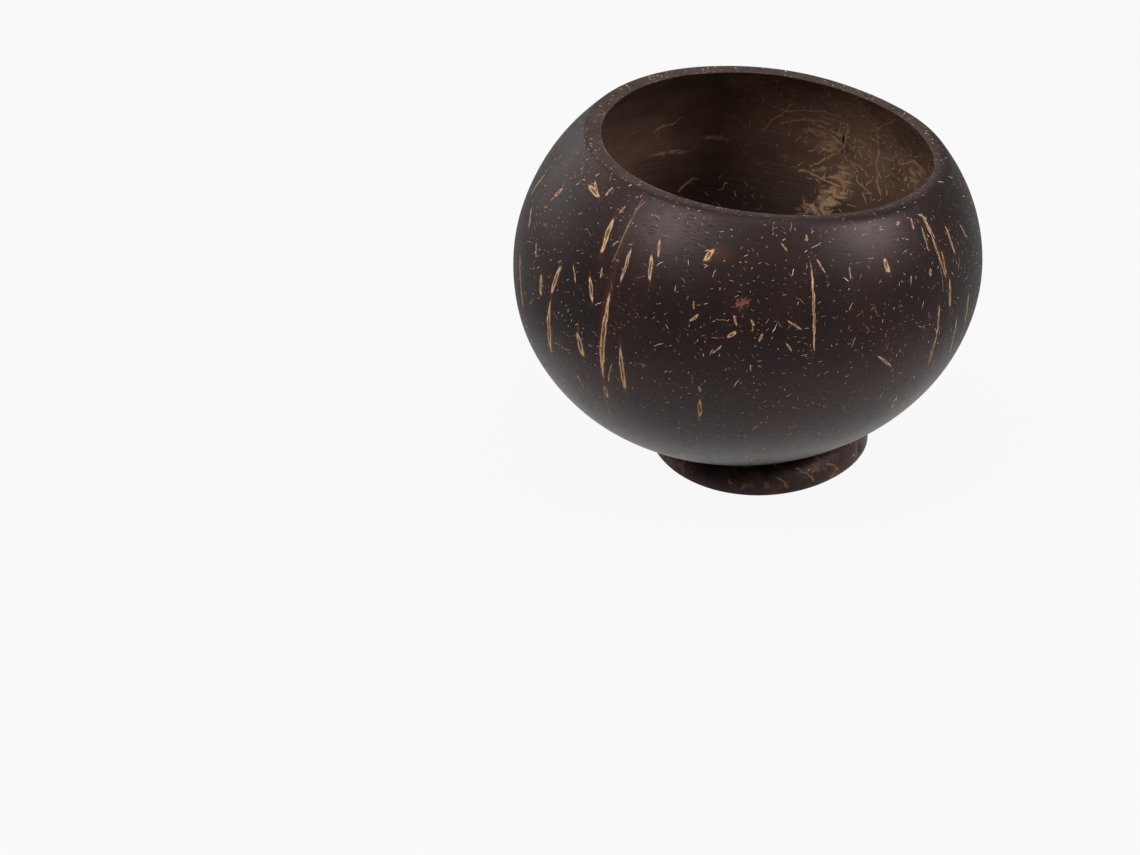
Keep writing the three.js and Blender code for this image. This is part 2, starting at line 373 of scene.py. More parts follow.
def nut_surface(shell, latitude, bearing, inset):
    """Points of the nut: an ellipse turned about a vertical axis and moved in along its normal by an inset,
    then scaled outwards by the lobes and sheared towards +X by the lean."""
    out = np.cos(latitude)
    up = np.sin(latitude)
    steep = np.hypot(out / shell.nut_radius, up / shell.nut_half_height)
    reach = shell.nut_radius * out - inset * out / shell.nut_radius / steep
    reach = reach * (1 + lobed(shell, bearing) / shell.nut_radius)
    rise = shell.nut_half_height * up - inset * up / shell.nut_half_height / steep
    x = shell.axis_x + reach * np.cos(bearing) + math.tan(shell.lean) * rise
    y = shell.axis_y + reach * np.sin(bearing)
    return np.stack(np.broadcast_arrays(x, y, shell.girth_height + rise), axis=-1)


def cut_latitude(shell, bearing, inset, drop):
    """The latitude where a surface of the nut meets the sloping plane of the saw, or one that lies lower by
    a drop: the interval from pole to pole is halved until it is a point."""
    below = np.full_like(bearing, -POLE)
    above = np.full_like(bearing, POLE)
    for _ in range(HALVINGS):
        middle = (below + above) / 2
        point = nut_surface(shell, middle, bearing, inset)
        plane = shell.girth_height + shell.mouth_rise - drop
        under = point[:, 2] < plane - math.tan(shell.mouth_slope) * (point[:, 0] - shell.axis_x)
        below = np.where(under, middle, below)
        above = np.where(under, above, middle)
    return below


def rounded_edge(start, edge, end, rows):
    """A parabola from one point to another that heads for the edge between them."""
    step = np.linspace(0, 1, rows)[:, None, None]
    return (1 - step) ** 2 * start + 2 * step * (1 - step) * edge + step**2 * end


def shell_sections(shell, bearing):
    """The shell's section at each bearing, row by row: up the outside by equal steps of latitude, over the
    lip by two rounded edges with a flat land between them, and down the inside to the pole. The rounding
    grows with the square of half of one plus the cosine of the turn from where it is roundest."""
    rounder = (0.5 + 0.5 * np.cos(bearing - shell.round_bearing)) ** 2
    eased = shell.lip_ease + shell.lip_round * rounder
    outer_end = cut_latitude(shell, bearing, 0, eased)
    inner_end = cut_latitude(shell, bearing, shell.wall, eased)
    outer_edge = nut_surface(shell, cut_latitude(shell, bearing, 0, 0), bearing, 0)
    inner_edge = nut_surface(shell, cut_latitude(shell, bearing, shell.wall, 0), bearing, shell.wall)
    across = inner_edge - outer_edge
    ease = across * (eased / np.linalg.norm(across, axis=-1))[:, None]
    climb = np.linspace(0, 1, OUTER_ROWS, endpoint=False)[:, None]
    fall = np.linspace(0, 1, INNER_ROWS + 1)[1:, None]
    land = np.linspace(0, 1, LAND_ROWS + 2)[1:-1, None, None]
    lip_start = nut_surface(shell, outer_end, bearing, 0)
    lip_end = nut_surface(shell, inner_end, bearing, shell.wall)
    return np.concatenate(
        (
            nut_surface(shell, -POLE + (outer_end + POLE) * climb, bearing, 0),
            rounded_edge(lip_start, outer_edge, outer_edge + ease, EDGE_ROWS),
            outer_edge + ease + (across - 2 * ease) * land,
            rounded_edge(inner_edge - ease, inner_edge, lip_end, EDGE_ROWS),
            nut_surface(shell, inner_end - (inner_end + POLE) * fall, bearing, shell.wall),
        )
    )


def row_distance(points):
    """The distance from the first row along each column: the running sum of the steps between rows."""
    steps = np.linalg.norm(np.diff(points, axis=0), axis=-1)
    return np.concatenate((np.zeros((1, points.shape[1])), np.cumsum(steps, axis=0)))


def grid_normals(points, ring):
    """Unit normals of a grid: the cross product of the steps along its columns and along its rows."""
    along = np.roll(points, -1, axis=1) - np.roll(points, 1, axis=1)
    up = np.roll(points, -1, axis=0) - np.roll(points, 1, axis=0)
    if not ring:
        up = np.gradient(points, axis=0)
        along[0] = along[1]
        along[-1] = along[-2]
    normals = np.cross(along, up)
    normals /= np.linalg.norm(normals, axis=-1, keepdims=True)
    if not ring:
        normals[0] = normals[0].mean(axis=0)
        normals[-1] = normals[-1].mean(axis=0)
    return normals


def low_waves(points, wavelength, seed):
    """Between 0 and 1 at each point: a clipped sum of plane cosine waves, each with a heading, a length near
    the one given and a start that are drawn from a seed."""
    chance = np.random.default_rng(seed)
    heading = chance.normal(size=(WAVE_COUNT, 3))
    heading /= np.linalg.norm(heading, axis=1, keepdims=True)
    heading *= TURN / wavelength * chance.uniform(0.7, 1.4, (WAVE_COUNT, 1))
    total = np.cos(points @ heading.T + chance.uniform(0, TURN, WAVE_COUNT)).sum(axis=-1)
    return 0.5 + 0.5 * np.clip(total / (WAVE_COUNT / 2), -1, 1)


def on_map(shell, points, distance, rows, bearing, height):
    """The place on the shell's map, in millimetres, of a bearing in degrees and a height in millimetres, read
    from the column that lies nearest to that bearing, on the rows given. Also how much wider the map is there
    than the shell."""
    turned = (math.radians(bearing) - MAP_START) % TURN
    column = round(turned / TURN * SHELL_COLUMNS) % SHELL_COLUMNS
    order = np.argsort(points[rows, column, 2])
    line = points[rows, column][order]
    heights = line[:, 2] * MM
    down = np.interp(height, heights, distance[rows, column][order])
    x, y, _ = line[np.searchsorted(heights, height) - 1]
    reach = math.hypot(x - shell.axis_x, y - shell.axis_y)
    return turned * shell.nut_radius * MM, float(down) * MM, shell.nut_radius / reach


def ellipses(shell, points, distance, rows, marks):
    """Each mark, given by its two ends and its width, as an ellipse on the map: its centre, its half width,
    its half length and its turn."""
    laid = []
    for bearing_a, height_a, bearing_b, height_b, width in marks:
        across_a, down_a, _ = on_map(shell, points, distance, rows, bearing_a, height_a)
        across_b, down_b, stretch = on_map(shell, points, distance, rows, bearing_b, height_b)
        run = (across_a - across_b, down_a - down_b)
        centre = ((across_a + across_b) / 2, (down_a + down_b) / 2)
        turn = math.atan2(run[1], run[0]) - POLE
        laid.append((centre, width / 2 * stretch, math.hypot(*run) / 2, turn))
    return laid


def dents(places, laid):
    """Between 0 and 1 at each place: one less the squared radius in the nearest ellipse, where that is over
    0, and else 0."""
    depth = np.zeros(places.shape[:2])
    for centre, half_width, half_length, turn in laid:
        offset = places - centre
        across = offset[..., 0] * math.cos(turn) + offset[..., 1] * math.sin(turn)
        along = offset[..., 1] * math.cos(turn) - offset[..., 0] * math.sin(turn)
        depth = np.maximum(depth, 1 - (across / half_width) ** 2 - (along / half_length) ** 2)
    return depth


def closed_mesh(name, points, places, ring):
    """A closed mesh of a grid whose last column joins the first. A ring's last row joins its first one too,
    and otherwise the first and the last row are each one point. Places are the map's corners in millimetres,
    with one more column than the points, and one more row on a ring."""
    rows, columns = points.shape[:2]
    if ring:
        number = np.arange(rows * columns).reshape(rows, columns)
        number = np.vstack((number, number[:1]))
        corners = points.reshape(-1, 3)
    else:
        body = 1 + np.arange((rows - 2) * columns).reshape(rows - 2, columns)
        number = np.vstack((np.zeros((1, columns), int), body, np.full((1, columns), body[-1, -1] + 1)))
        corners = np.vstack((points[0, :1], points[1:-1].reshape(-1, 3), points[-1, :1]))
    number = np.hstack((number, number[:, :1]))
    first, second = slice(None, -1), slice(1, None)
    around = ((first, first), (first, second), (second, second), (second, first))
    quads = np.stack([number[part] for part in around], axis=-1)
    spots = np.stack([places[part] for part in around], axis=-2)
    sides = np.full(quads.shape[:2], 4)
    keep = np.ones(quads.shape, bool)
    if not ring:
        spots[0, :, 0] = spots[0, :, :2].mean(axis=1)
        spots[-1, :, 2] = spots[-1, :, 2:].mean(axis=1)
        keep[0, :, 1] = False
        keep[-1, :, 3] = False
        sides[0] = 3
        sides[-1] = 3
    mesh = bpy.data.meshes.new(name)
    mesh.vertices.add(len(corners))
    mesh.vertices.foreach_set("co", corners.astype(np.float32).ravel())
    mesh.loops.add(int(sides.sum()))
    mesh.loops.foreach_set("vertex_index", quads[keep].astype(np.int32))
    mesh.polygons.add(sides.size)
    starts = np.concatenate(([0], np.cumsum(sides.ravel())[:-1]))
    mesh.polygons.foreach_set("loop_start", starts.astype(np.int32))
    mesh.polygons.foreach_set("use_smooth", np.ones(sides.size, bool))
    layer = mesh.uv_layers.new(name="surface")
    mesh.update(calc_edges=True)
    layer.uv.foreach_set("vector", spots[keep].astype(np.float32).ravel())
    if mesh.validate():
        raise RuntimeError(f"{name}: its faces don't fit together")
    return mesh


def placed(name, mesh, material, node):
    """A piece at the origin that rides on the cup, stands for a solid of it and takes a slot's finish."""
    mesh.materials.append(material)
    piece = bpy.data.objects.new(name, mesh)
    bpy.context.scene.collection.objects.link(piece)
    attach(piece, "root")
    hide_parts(node)
    return piece


def arithmetic(operation, turned=False):
    """A method that adds the node for an operation on a reading and another term, which comes first if they
    are turned round."""

    def method(self, other):
        return self.worked(operation, *((other, self) if turned else (self, other)))

    return method


class Reading:
    """What a socket gives over the surface. Arithmetic on values adds Math nodes, and on vectors and colours
    Vector Math nodes."""

    def __init__(self, finish, socket):
        self.finish = finish
        self.socket = socket

    def worked(self, operation, *terms):
        """Adds the node for an operation on these terms."""
        kinds = [term.socket.type for term in terms if isinstance(term, Reading)]
        plain = all(kind in ("VALUE", "INT", "BOOLEAN") for kind in kinds)
        kind = "ShaderNodeMath" if plain else "ShaderNodeVectorMath"
        return self.finish.node(kind, {"operation": operation}, dict(enumerate(terms)))

    __add__ = arithmetic("ADD")
    __radd__ = arithmetic("ADD", turned=True)
    __sub__ = arithmetic("SUBTRACT")
    __rsub__ = arithmetic("SUBTRACT", turned=True)
    __mul__ = arithmetic("MULTIPLY")
    __rmul__ = arithmetic("MULTIPLY", turned=True)
    __truediv__ = arithmetic("DIVIDE")
    __rtruediv__ = arithmetic("DIVIDE", turned=True)
    least = arithmetic("MINIMUM")
    most = arithmetic("MAXIMUM")
    dot = arithmetic("DOT_PRODUCT")
    under = arithmetic("LESS_THAN")  # gives 1 or 0

    def __abs__(self):
        return self.worked("ABSOLUTE", self)

    def size(self):
        """The length of a vector."""
        return self.worked("LENGTH", self)

    def unit(self):
        """The vector with a length of 1."""
        return self.worked("NORMALIZE", self)

    def level(self, upright):
        """What is left of a vector square to an upright one."""
        return self - self.worked("PROJECT", self, upright)

    def part(self, axis):
        """One part of a vector: X, Y or Z."""
        return self.finish.node("ShaderNodeSeparateXYZ", {}, {"Vector": self}, axis)

    def stretched(self, across, along):
        """A place divided by a size across and a size along, for noise that is longer one way."""
        return self * (1 / across, 1 / along, 1)

    def beside(self, output):
        """Another output of the same node."""
        return Reading(self.finish, find_socket(self.socket.node.outputs, output))


def find_socket(sockets, key):
    """The socket with this number, identifier or name, or the first that is in use."""
    if isinstance(key, int):
        return sockets[key]
    return next(s for s in sockets if s.enabled and key in (None, s.identifier, s.name))


class Finish:
    """A node tree in the making: of a finish, the floor or the room."""

    def __init__(self, tree):
        self.tree = tree
        self.tree.nodes.clear()

    def node(self, kind, settings=None, sockets=None, output=None):
        """Adds a node of a kind, sets its settings, then links or fills its sockets, and reads an output."""
        node = self.tree.nodes.new(kind)
        for name, value in (settings or {}).items():
            setattr(node, name, value)
        for key, value in (sockets or {}).items():
            socket = find_socket(node.inputs, key)
            if isinstance(value, Reading):
                self.tree.links.new(value.socket, socket)
            elif socket.type == "RGBA":
                socket.default_value = (*value, 1) if len(value) == 3 else value
            elif socket.type == "VECTOR" and isinstance(value, (int, float)):
                socket.default_value = (value, value, value)
            else:
                socket.default_value = value
        if not node.outputs:
            return None
        return Reading(self, find_socket(node.outputs, output))

    def blend(self, share, low, high):
        """A colour between two, by a share from 0 to 1."""
        sockets = {"Factor_Float": share, "A_Color": low, "B_Color": high}
        return self.node("ShaderNodeMix", {"data_type": "RGBA"}, sockets)

    def slide(self, share, low, high):
        """A value between two, by a share from 0 to 1."""
        sockets = {"Factor_Float": share, "A_Float": low, "B_Float": high}
        return self.node("ShaderNodeMix", {"data_type": "FLOAT"}, sockets)

    def ramp(self, value, start, end):
        """Smoothly from 0 at the start to 1 at the end, which may be the lower of the two."""
        sockets = {"Value": value, "From Min": start, "From Max": end}
        return self.node("ShaderNodeMapRange", {"interpolation_type": "SMOOTHSTEP"}, sockets)

    def noise(self, place, size, detail=2.0, roughness=0.5, swirl=0.0):
        """Soft noise from 0 to 1 with features of about this size, which a swirl twists."""
        sockets = {"Vector": place, "Scale": 1 / size, "Detail": detail, "Roughness": roughness}
        sockets["Distortion"] = swirl
        return self.node("ShaderNodeTexNoise", {"noise_dimensions": "3D"}, sockets)

    def map_place(self):
        """The place on the piece's map, in millimetres."""
        return self.node("ShaderNodeUVMap", {"uv_map": "surface"})

    def solid_place(self):
        """The place in space, in millimetres."""
        return self.node("ShaderNodeTexCoord", {}, {}, "Object") * MM

    def surfaced(self, shader):
        """Ends the tree of a material with a shader."""
        self.node("ShaderNodeOutputMaterial", {}, {"Surface": shader})


def new_finish(name):
    """A material with an empty node tree."""
    material = bpy.data.materials.new(name)
    material.use_nodes = True
    return material, Finish(material.node_tree)


def shaded(finish, base, roughness, height):
    """A Principled shader with a colour, a roughness and a height in millimetres."""
    bumped = finish.node("ShaderNodeBump", {}, {"Strength": 1.0, "Distance": 1 / MM, "Height": height})
    sockets = {"Base Color": base, "Roughness": roughness, "Normal": bumped}
    sockets |= {"Specular IOR Level": SHINE, "Specular Tint": SHINE_TINT}
    return finish.node("ShaderNodeBsdfPrincipled", {}, sockets)


def cut_fibres(finish, solid, outwards, spacing, half_length, half_width, common):
    """Fibres in the wall that the polishing lays bare: in each cell of a solid pattern a flat ellipse along the
    surface, at a random turn. Gives how much of a fibre is at a place, and a random number for each."""
    cell = finish.node(
        "ShaderNodeTexVoronoi", {"voronoi_dimensions": "3D"}, {"Vector": solid, "Scale": 1 / spacing}, "Color"
    )
    heading = (cell - 0.5).level(outwards).unit()
    offset = (solid - cell.beside("Position")).level(outwards)
    along = offset.dot(heading)
    across = offset.dot(offset) - along * along
    reach = cell.part("X") * half_length + 0.4 * half_length
    radius = (along * along) / (reach * reach) + across * (1 / half_width**2)
    return finish.ramp(radius, 1.3, 0.5) * cell.part("Y").under(common), cell.part("Z")


def nearest_mark(finish, place, laid):
    """The radius in the nearest of the ellipses: 0 at its centre and 1 at its edge. Ellipses with about the
    same turn share a map that is turned back by it."""
    nearest = None
    maps = {}
    for centre, half_width, half_length, turn in sorted(laid, key=lambda mark: round(mark[3] / TURN_STEP)):
        turn = round(turn / TURN_STEP) * TURN_STEP
        if turn not in maps:
            sockets = {"Vector": place, "Angle": -turn}
            maps[turn] = finish.node("ShaderNodeVectorRotate", {"rotation_type": "Z_AXIS"}, sockets)
        across = centre[0] * math.cos(turn) + centre[1] * math.sin(turn)
        along = centre[1] * math.cos(turn) - centre[0] * math.sin(turn)
        grow = (1 / half_width, 1 / half_length, 0)
        shift = (-across / half_width, -along / half_length, 0)
        radius = maps[turn].worked("MULTIPLY_ADD", maps[turn], grow, shift).size()
        nearest = radius if nearest is None else nearest.least(radius)
    return nearest


def nearest_vein(finish, place, lines):
    """The distance to the nearest of the lines: the least of those to their straight stretches, each measured
    from the point of the stretch on which the place falls."""
    nearest = None
    for line in lines:
        for start, end in zip(line, line[1:]):
            run = Vector((*end, 0)) - Vector((*start, 0))
            from_start = place - (*start, 0)
            fallen = from_start.dot(tuple(run / run.length_squared))
            fallen = finish.node("ShaderNodeClamp", {}, {"Value": fallen})
            sockets = {0: tuple(run), "Scale": fallen}
            along = finish.node("ShaderNodeVectorMath", {"operation": "SCALE"}, sockets)
            distance = (from_start - along).size()
            nearest = distance if nearest is None else nearest.least(distance)
    return nearest


def outside_finish(finish, colours, solid, outwards, surface, marks):
    """The polished outside: near-black shell with redder clouds, flecks of cut fibre, broad streaks of bare
    fibre, brown sutures and fine sanding lines. Gives its colour, roughness and height."""
    clouds = finish.ramp(finish.noise(solid, 24, 3.0, 0.6), 0.42, 0.75)
    mottle = finish.noise(solid, 1.6, 4.0, 0.65)
    base = finish.blend(clouds, colours.shell_dark, colours.shell_red)
    base = finish.blend(finish.ramp(mottle, 0.35, 0.75) * 0.45, base, colours.shell_red)

    ragged = finish.noise(surface.stretched(0.45, 4.5), 1, 3.0, 0.6)
    wander = finish.noise(surface, 3.2, 2.0).beside("Color") - 0.5
    bent = surface + wander * (1.1, 0.6, 0)
    stain = finish.ramp(nearest_mark(finish, bent, marks["stains"]) + mottle * 0.9, 1.5, 0.5)
    base = finish.blend(stain * 0.4, base, colours.stain_red)

    crumbs = (finish.noise(solid, 0.7, 3.0, 0.6) - 0.5) * 4.0
    scab = finish.ramp(nearest_mark(finish, bent, marks["scabs"]) + crumbs, 1.1, 0.3)
    base = finish.blend(scab * 0.85, base, colours.scab_red)

    suture = nearest_mark(finish, bent, marks["sutures"]) + (ragged - 0.5) * 0.9
    base = finish.blend(finish.ramp(suture, 1.9, 0.5) * 0.32, base, colours.stain_red)
    wide = 0.03 + ragged * 0.18
    strayed = surface + wander * (0.9, 0.9, 0)
    thread = finish.ramp(nearest_vein(finish, strayed, marks["threads"]) / wide, 1.2, 0.5)
    thread = thread * finish.ramp(finish.noise(surface, 4, 2.0), 0.36, 0.56)

    streak = nearest_mark(finish, bent, marks["streaks"]) + (ragged - 0.5) * 0.7
    base = finish.blend(finish.ramp(streak, 1.8, 0.95) * 0.45, base, colours.stain_red)
    core = finish.ramp(streak, 1.02, 0.84).most(thread * 0.4)
    strands = finish.noise(surface.stretched(0.22, 1.8), 1, 3.0, 0.7)
    bare = finish.ramp(strands * 0.8 + finish.ramp(streak, 0.3, 0.9) * 0.22, 0.4, 0.58)
    fibre = finish.blend(bare, colours.streak_brown, colours.streak_tan)

    curled = solid + (finish.noise(solid, 2.4, 1.0).beside("Color") - 0.5) * 1.3
    crowd = finish.ramp(finish.noise(solid, 17, 1.0), 0.3, 0.6)
    small, small_tone = cut_fibres(finish, curled, outwards, *SMALL_FLECKS)
    long, long_tone = cut_fibres(finish, curled, outwards, *LONG_FLECKS)
    fleck = (small * (0.5 + 0.5 * crowd)).most(long)
    tone = finish.slide(long, small_tone, long_tone)
    fleck_colour = finish.blend(finish.ramp(tone, 0.3, 1.0), colours.fleck_tan, colours.fleck_cream)

    sanding = finish.noise(surface.stretched(9, 0.35), 1, 2.0)
    scratches = finish.ramp(finish.noise(surface.stretched(3.4, 0.22), 1, 1.0), 0.56, 0.7)
    scratches = scratches * finish.ramp(finish.noise(solid, 9, 1.0), 0.48, 0.62)
    base = finish.blend(fleck, base, fleck_colour)
    base = finish.blend(core, base, fibre)
    rough = colours.shell_gloss + (sanding - 0.5) * 0.1 + (mottle - 0.5) * 0.1
    rough = finish.slide(core.most(fleck).most(scratches * 0.8), rough, 0.66)
    return base, rough, sanding * 0.016 - scratches * 0.018


def lip_finish(finish, colours, solid, outwards, down):
    """The sanded lip: matt grey-brown shell with fine grain, darker pores and small pale flecks, most of them
    along its outer edge."""
    grain = finish.noise(solid, 0.7, 4.0, 0.7)
    clouds = finish.noise(solid, 5, 3.0)
    base = finish.blend(finish.ramp(clouds, 0.4, 0.65) * 0.7, colours.lip_grey, colours.lip_brown)
    base = finish.blend(finish.ramp(grain, 0.55, 0.35) * 0.6, base, colours.shell_red)
    fleck, tone = cut_fibres(finish, solid, outwards, *LIP_FLECKS)
    fleck = fleck * finish.slide(finish.ramp(down, 0.2, -1.6), 0.5, 0.9)
    pale = finish.blend(tone, colours.fleck_tan, colours.fleck_cream)
    return finish.blend(fleck, base, pale), grain * 0.2 + 0.42, grain * 0.05


def inside_finish(finish, colours, solid, outwards, surface, marks):
    """The scraped inside: brown shell with level grain, fibres, torn pale patches and a slit, and painted shade
    that darkens it towards its bottom and on its left wall.
    """
    grain = finish.noise(surface.stretched(14, 0.55), 1, 3.0, 0.6)
    clouds = finish.noise(solid, 16, 3.0, 0.6)
    tone = finish.ramp(grain * 0.35 + clouds * 0.65, 0.36, 0.64)
    base = finish.blend(tone, colours.inside_dark, colours.inside_brown)
    # Painted shade: darker towards the bottom of the inside.
    painted_depth_shade = finish.ramp(surface.part("Y") + clouds * 14, 32, 62)
    # Painted shade: the inside's left wall, which faces +X, is darkened as well.
    shade = finish.ramp(outwards.part("X"), 0.1, -0.7) * 0.4
    base = finish.blend((painted_depth_shade * 0.92).most(shade), base, colours.inside_painted_shade)
    wisps = finish.ramp(finish.noise(surface.stretched(6, 0.6), 1, 3.0, 0.6, 0.6), 0.62, 0.78)
    wisps = wisps * finish.ramp(finish.noise(solid, 11, 2.0), 0.42, 0.62)
    base = finish.blend(wisps * 0.4, base, colours.patch_pale)

    wander = finish.noise(surface, 4.5, 3.0).beside("Color") - 0.5
    bent = surface + wander * (3.4, 2.0, 0)
    torn = finish.noise(surface.stretched(4.2, 2.2), 1, 4.0, 0.55, 1.4)
    patch = finish.ramp(nearest_mark(finish, bent, marks["patches"]) + (torn - 0.5) * 3.4, 1.8, 0.2)
    flakes = finish.ramp(torn, 0.58, 0.42)
    patch = patch * finish.slide(flakes, 0.35, 1.0)
    base = finish.blend(patch * 0.76, base, finish.blend(flakes, colours.vein_tan, colours.patch_pale))

    curled = solid + (finish.noise(solid, 3.5, 2.0).beside("Color") - 0.5) * 3.0
    hair, hair_tone = cut_fibres(finish, curled, outwards, *INSIDE_HAIRS)
    hair = hair * finish.ramp(clouds + hair_tone * 0.3 + outwards.part("X") * 0.36, 0.62, 0.84)
    bent = surface + wander * (2.2, 2.2, 0)
    wide = 0.1 + finish.noise(surface, 3, 2.0) * 0.42
    vein = finish.ramp(nearest_vein(finish, bent, marks["veins"]) / wide, 1.2, 0.45)
    vein = vein * finish.ramp(torn + grain * 0.4, 0.45, 0.75)
    base = finish.blend(hair * 0.6, base, colours.fleck_cream)
    base = finish.blend(vein * 0.75, base, colours.vein_tan)
    slit = finish.ramp(nearest_mark(finish, surface, marks["slits"]), 1.1, 0.8)
    base = finish.blend(slit, base, colours.shell_dark)
    rough = colours.inside_gloss + (grain - 0.5) * 0.2 + vein * 0.1
    return base, rough, grain * 0.07


def shell_material(colours, marks, middle):
    """The shell's finish: outside, lip and inside, told apart by the distance from the middle of the lip."""
    material, finish = new_finish("polished_shell")
    surface = finish.map_place()
    solid = finish.solid_place()
    outwards = (solid - middle).unit()
    down = surface.part("Y") + (finish.noise(solid, 1.5, 2.0) - 0.5) * 0.7
    worn = finish.ramp(outwards.part("Y"), 0.6, 0.0) * finish.ramp(outwards.part("X"), -0.65, -0.2)
    lip = finish.ramp(down, finish.slide(worn, -2.5, -2.4), finish.slide(worn, -1.5, 1.6))
    within = finish.ramp(down, 2.0, 2.7)
    outside = shaded(finish, *outside_finish(finish, colours, solid, outwards, surface, marks))
    sanded = shaded(finish, *lip_finish(finish, colours, solid, outwards, down))
    inside = shaded(finish, *inside_finish(finish, colours, solid, outwards, surface, marks))
    outside = finish.node("ShaderNodeMixShader", {}, {"Fac": lip, 1: outside, 2: sanded})
    whole = finish.node("ShaderNodeMixShader", {}, {"Fac": within, 1: outside, 2: inside})
    finish.surfaced(whole)
    return material


def foot_material(colours, veins, middle):
    """The foot's finish: dark shell with reddish mottles, tan veins and two places where it is torn paler."""
    material, finish = new_finish("foot_shell")
    surface = finish.map_place()
    solid = finish.solid_place()
    outwards = (solid - middle).unit()
    clouds = finish.noise(solid, 6, 4.0, 0.62)
    grain = finish.noise(solid, 0.9, 3.0, 0.65)
    base = finish.blend(finish.ramp(clouds + grain * 0.2, 0.56, 0.74), colours.foot_dark, colours.foot_red)
    pale = finish.noise(solid + 40, 7, 4.0, 0.62) + grain * 0.2
    base = finish.blend(finish.ramp(pale, 0.68, 0.84) * 0.5, base, colours.foot_tan)
    around = surface.part("X")
    left = finish.ramp(abs(around - TORN_LEFT), 14, 3) * 0.8
    right = finish.ramp(abs(around - TORN_RIGHT), 7, 1) * 0.14
    torn = finish.ramp(finish.noise(solid, 2.2, 4.0, 0.7, 0.8), 0.48, 0.7)
    base = finish.blend(left.most(right) * torn, base, colours.foot_tan)
    wander = finish.noise(surface, 2.4, 3.0).beside("Color") - 0.5
    wide = 0.06 + grain * 0.42
    vein = finish.ramp(nearest_vein(finish, surface + wander * (2.4, 2.4, 0), veins) / wide, 1.4, 0.2)
    base = finish.blend(vein * 0.6, base, colours.foot_tan)
    fleck, tone = cut_fibres(finish, solid, outwards, *FOOT_FLECKS)
    base = finish.blend(fleck * 0.7, base, finish.blend(tone, colours.fleck_tan, colours.fleck_cream))
    finish.surfaced(shaded(finish, base, grain * 0.2 + 0.4, grain * 0.05))
    return material


def glue_material(colours):
    """The glue's finish: dark and uneven, with small pits."""
    material, finish = new_finish("cured_glue")
    solid = finish.solid_place()
    lumps = finish.noise(solid, 1.6, 3.0)
    base = finish.blend(finish.ramp(lumps, 0.4, 0.75) * 0.6, colours.glue_dark, colours.foot_red)
    finish.surfaced(shaded(finish, base, lumps * 0.25 + 0.5, lumps * 0.12))
    return material


def underside_height(shell, x, y):
    """The height of the nut's underside over places on the table: the ellipse's lower half, with the shift
    that the lean gives put right by repeated substitution."""
    rise = np.full_like(x, -shell.nut_half_height)
    beside = y - shell.axis_y
    for _ in range(PASSES):
        across = x - shell.axis_x - math.tan(shell.lean) * rise
        reach = shell.nut_radius + lobed(shell, np.arctan2(beside, across))
        rise = -shell.nut_half_height * np.sqrt(1 - (np.hypot(across, beside) / reach) ** 2)
    return shell.girth_height + rise


def rounded_rectangle(wide, high, ease):
    """A closed path of steps inwards and steps up, from the foot of the outer side: four straight sides of
    evenly spaced points and four quarter circles."""
    quarter = np.linspace(0, POLE, FOOT_CORNER_ROWS)
    up = np.linspace(ease, high - ease, FOOT_SIDE_ROWS + 2)[1:-1]
    over = np.linspace(ease, wide - ease, FOOT_TOP_ROWS + 2)[1:-1]
    cos, sin = ease * np.cos(quarter), ease * np.sin(quarter)
    inner = wide - ease
    top = high - ease
    inwards = (up * 0, ease - cos, over, inner + sin, up * 0 + wide, inner + cos, over[::-1], ease - sin)
    upwards = (up, top + sin, over * 0 + high, top + cos, up[::-1], ease - sin, over * 0, ease - cos)
    return np.concatenate(inwards), np.concatenate(upwards)


def foot_grid(shell, foot, bearing):
    """The foot: a rounded rectangle carried round a lobed circle. Its outer radius falls with the square of
    the share of the way up, and that share is taken of the height under the nut's underside. Low waves,
    which fade out over the lowest sixth, and a chip with a bell's profile are taken off along its normals."""
    inwards, upwards = rounded_rectangle(foot.wall, foot.section, foot.ease)
    climb = (upwards / foot.section)[:, None]
    radius = foot.radius - foot.taper * climb**2 - inwards[:, None] + lobed(foot, bearing)
    x = foot.centre_x + radius * np.cos(bearing)
    y = foot.centre_y + radius * np.sin(bearing)
    points = np.stack((x, y, climb * (underside_height(shell, x, y) - foot.seat_gap)), axis=-1)
    worn = foot.wear * low_waves(points, FOOT_WAVE, 5) * np.clip(climb * 6, 0, 1)
    beside = (np.remainder(bearing - foot.chip_bearing + math.pi, TURN) - math.pi) / CHIP_WIDTH
    above = (climb - CHIP_HEIGHT) / CHIP_SPREAD
    outer = inwards[:, None] < foot.wall / 2
    chip = foot.chip_depth * np.exp(-(beside**2) - above**2) * outer
    return points - grid_normals(points, True) * (worn + chip)[..., None]


def glue_grid(shell, foot, glue, bearing):
    """The glue: a flattened oval carried round the seat, half sunk between the seat and the nut, whose sides
    bulge by an amount that waves round the ring."""
    turn = np.linspace(0, TURN, GLUE_ROWS, endpoint=False)[:, None]
    out = np.sign(np.cos(turn)) * np.abs(np.cos(turn)) ** OVAL_POWER
    up = np.sign(np.sin(turn)) * np.abs(np.sin(turn)) ** OVAL_POWER
    seat = foot.radius - foot.taper - foot.wall / 2
    ripple = 0.5 + 0.25 * np.cos(5 * bearing + 1) + 0.25 * np.cos(11 * bearing)
    radius = seat + lobed(foot, bearing) + (foot.wall / 2 - glue.tuck + glue.bulge * ripple) * out
    x = foot.centre_x + radius * np.cos(bearing)
    y = foot.centre_y + radius * np.sin(bearing)
    middle = underside_height(shell, x, y) - foot.seat_gap / 2
    return np.stack((x, y, middle + (foot.seat_gap / 2 - glue.clearance) * up), axis=-1)


def map_places(distance, bearing, radius, ring):
    """The map of a grid in millimetres: arc round the axis at one radius, and the distance along each
    column."""
    across = np.append(bearing - MAP_START, TURN) * radius * MM
    along = np.hstack((distance, distance[:, :1])) * MM
    if ring:
        along = np.vstack((along, 2 * along[-1] - along[-2]))
    return np.stack((np.broadcast_to(across, along.shape), along), axis=-1)


